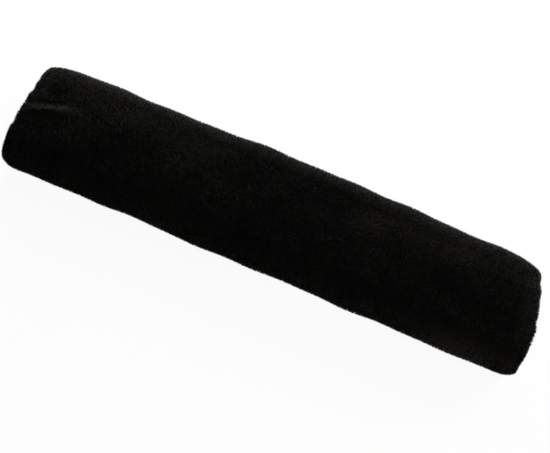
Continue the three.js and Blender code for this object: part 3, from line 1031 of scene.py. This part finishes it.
def tape_seam(name, level, finish):
    """A row of stitches along each side of a tape and across its ends: each stitch is a low half
    wave that starts and ends below the surface."""
    rng = np.random.default_rng(len(name) * 7)
    begin_at, end_at = TAPE_ENDS[0] + SEAM_FROM_END, TAPE_ENDS[1] - SEAM_FROM_END
    along = np.arange(begin_at, end_at - STITCH_LENGTH, STITCH_PITCH)
    across = np.arange(-SEAM_FROM_MIDDLE + 1, SEAM_FROM_MIDDLE - STITCH_LENGTH, STITCH_PITCH)
    begin, way = [], []
    for place in (-SEAM_FROM_MIDDLE, SEAM_FROM_MIDDLE):
        begin.append(np.stack([along, np.full(len(along), place)], -1))
        way.append(np.tile([STITCH_LENGTH, 0.0], (len(along), 1)))
    for place in (begin_at - CROSS_SEAM_OUT, end_at + CROSS_SEAM_OUT):
        begin.append(np.stack([np.full(len(across), place), across], -1))
        way.append(np.tile([0.0, STITCH_LENGTH], (len(across), 1)))
    begin, way = np.concatenate(begin), np.concatenate(way)
    begin = begin + rng.normal(0, STITCH_STRAY, begin.shape)
    t = np.linspace(0, 1, STITCH_POINTS)[None, :, None]
    flat = begin[:, None] + way[:, None] * t
    rise = level + STITCH_RISE * np.sin(np.pi * t) ** STITCH_BLUNTNESS - STITCH_SUNK
    centres = np.concatenate([flat, np.broadcast_to(rise, (*flat.shape[:2], 1))], -1)
    strands(name, centres, THREAD_THICKNESS, THREAD_SIDES, finish)


NAP_DEPTH = 4.0  # how far in from the ends of the tapes the single hooks and loops are made
NAP_FROM_END = 0.05
NAP_FROM_EDGE = 0.3
NAP_SIZES = (0.75, 1.0)
NAP_POINTS = 8
NAP_SIDES = 4
NAP_HALF_WIDTH = 0.34
NAP_LEAN = 0.12

# Rise off the backing, downwards for the loops, then count at each end, curl and thickness
HOOKS = (1.05, 210, 2.5, 0.2)
LOOPS = (-1.1, 520, np.pi, 0.1)


def tape_nap(name, level, rise, count, curl, thickness, finish, slot):
    """Hooks or loops at both ends of a tape: each goes along part of a leaning ellipse, from the
    backing out by its rise and round by its curl, a full half turn for a loop."""
    rng = np.random.default_rng(len(name) * 3)
    from_end = rng.uniform(NAP_FROM_END, NAP_DEPTH, 2 * count)
    x = np.concatenate([TAPE_ENDS[0] + from_end[:count], TAPE_ENDS[1] - from_end[count:]])
    half = TAPE_WIDTH / 2 - NAP_FROM_EDGE
    y = rng.uniform(-half, half, 2 * count)
    heading = rng.uniform(0, 2 * np.pi, 2 * count)[:, None]
    size = rng.uniform(*NAP_SIZES, 2 * count)[:, None]
    turn = np.linspace(0, curl, NAP_POINTS)[None, :]
    out = size * rise * np.sin(turn)
    sideways = NAP_HALF_WIDTH * (1 - np.cos(turn)) + NAP_LEAN * np.sin(turn)
    centres = np.stack([
        x[:, None] + sideways * np.cos(heading),
        y[:, None] + sideways * np.sin(heading),
        level + out,
    ], -1)
    strands(name, centres, thickness, NAP_SIDES, finish)


def closure():
    """The seams, hooks, loops and finishes of both tapes. The loop tape's stitches show on the
    suede inside the channel, and the hook tape's on its own backing."""
    hooks_from, loops_from = HOOK_TAPE_BOTTOM + TAPE_BACKING, LOOP_TAPE_TOP - TAPE_BACKING
    thread = thread_finish()
    tape_seam("loop_tape_stitches", FLAP_B_LEVEL + SKIN / 2 - STITCH_PULL, thread)
    tape_seam("hook_tape_stitches", hooks_from, thread)
    hooks, loops = nap_finish("hooks", *HOOK_COLOURS), nap_finish("loops", *LOOP_COLOURS)
    tape_nap("hook_tape_hooks", hooks_from, *HOOKS, hooks, "hook_tape")
    tape_nap("loop_tape_loops", loops_from, *LOOPS, loops, "loop_tape")
    for node, colours in (("hook_tape", HOOK_TAPE_COLOURS), ("loop_tape", LOOP_TAPE_COLOURS)):
        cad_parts[node].data.materials.clear()
        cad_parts[node].data.materials.append(tape_finish(node, *colours))


# The studio


def white_floor():
    """A plain pale floor that looks white and keeps the pad's shadow."""
    mesh = bpy.data.meshes.new("floor")
    half = FLOOR_HALF
    corners = [(-half, -half, 0), (half, -half, 0), (half, half, 0), (-half, half, 0)]
    mesh.from_pydata(corners, [], [(0, 1, 2, 3)])
    floor = bpy.data.objects.new("floor", mesh)
    bpy.context.scene.collection.objects.link(floor)
    finish = Finish("floor", Roughness=1.0, Specular_IOR_Level=0.0, Base_Color=FLOOR_PAINT)
    seen = [finish.node("ShaderNodeLightPath", {}, {}, name) for name in SEEN_RAYS]
    glow = finish.node("ShaderNodeEmission", {}, {"Strength": 1.0})
    share = (seen[0] + seen[1] + seen[2]).clipped() * FLOOR_GLOW
    plain = Shade(finish, finish.shader.outputs[0])
    mixed = finish.node("ShaderNodeMixShader", {}, {0: share, 1: plain, 2: glow})
    finish.feed(finish.tree.nodes["Material Output"].inputs["Surface"], mixed)
    mesh.materials.append(finish.material)


def studio_light():
    """An even pale world, which the camera sees as white, and soft lamps that face the pad, the
    two strongest of them behind it."""
    world = bpy.data.worlds.new("studio")
    world.use_nodes = True
    sky = Nodes(world.node_tree)
    white = (1, 1, 1, 1)
    soft = sky.node("ShaderNodeBackground", {}, {"Color": white, "Strength": WORLD_LIGHT})
    bright = sky.node("ShaderNodeBackground", {}, {"Color": white, "Strength": 1.0})
    camera_ray = sky.node("ShaderNodeLightPath", {}, {}, "Is Camera Ray")
    mixed = sky.node("ShaderNodeMixShader", {}, {0: camera_ray, 1: soft, 2: bright})
    sky.feed(sky.tree.nodes["World Output"].inputs["Surface"], mixed)
    bpy.context.scene.world = world
    for name, place, size, power in LAMPS:
        lamp = bpy.data.lights.new(name, "AREA")
        lamp.shape, lamp.size, lamp.energy = "DISK", size, power
        holder = bpy.data.objects.new(name, lamp)
        holder.location = place
        holder.rotation_euler = (-Vector(place)).to_track_quat("-Z", "Y").to_euler()
        bpy.context.scene.collection.objects.link(holder)


def place_camera():
    """The camera looks at the aim point from its azimuth and elevation, rolled about its own axis."""
    a, e = math.radians(VIEW_AZIMUTH), math.radians(VIEW_ELEVATION)
    back = Vector((math.sin(a) * math.cos(e), -math.cos(a) * math.cos(e), math.sin(e)))
    camera = bpy.data.objects.new("camera", bpy.data.cameras.new("camera"))
    camera.data.lens = VIEW_LENS
    aim = Vector(VIEW_AIM)
    level = (-back).to_track_quat("-Z", "Y").to_matrix().to_4x4()
    roll = Matrix.Rotation(math.radians(VIEW_ROLL), 4, "Z")
    camera.matrix_world = Matrix.Translation((aim + back * VIEW_DISTANCE) * MM) @ level @ roll
    camera.data.clip_start, camera.data.clip_end = 0.01, 50
    bpy.context.scene.collection.objects.link(camera)
    bpy.context.scene.camera = camera


# The pad, piece by piece
bpy.context.scene.view_settings.view_transform = "Standard"
wool_core(wool_core_finish())
fibre = wool_fibre_finish()
fibre_tips(fibre)
for side, end in ((-1, "start"), (1, "finish")):
    rim_tips(f"wool_rim_{end}", side, fibre)
    mouth_wisps(f"wool_wisps_{end}", side, fibre)
suede_sheet(suede_finish())
fuzz = fuzz_finish()
suede_fuzz("suede_fuzz_start", -1, fuzz)
suede_fuzz("suede_fuzz_finish", 1, fuzz)
closure()
white_floor()
studio_light()
place_camera()
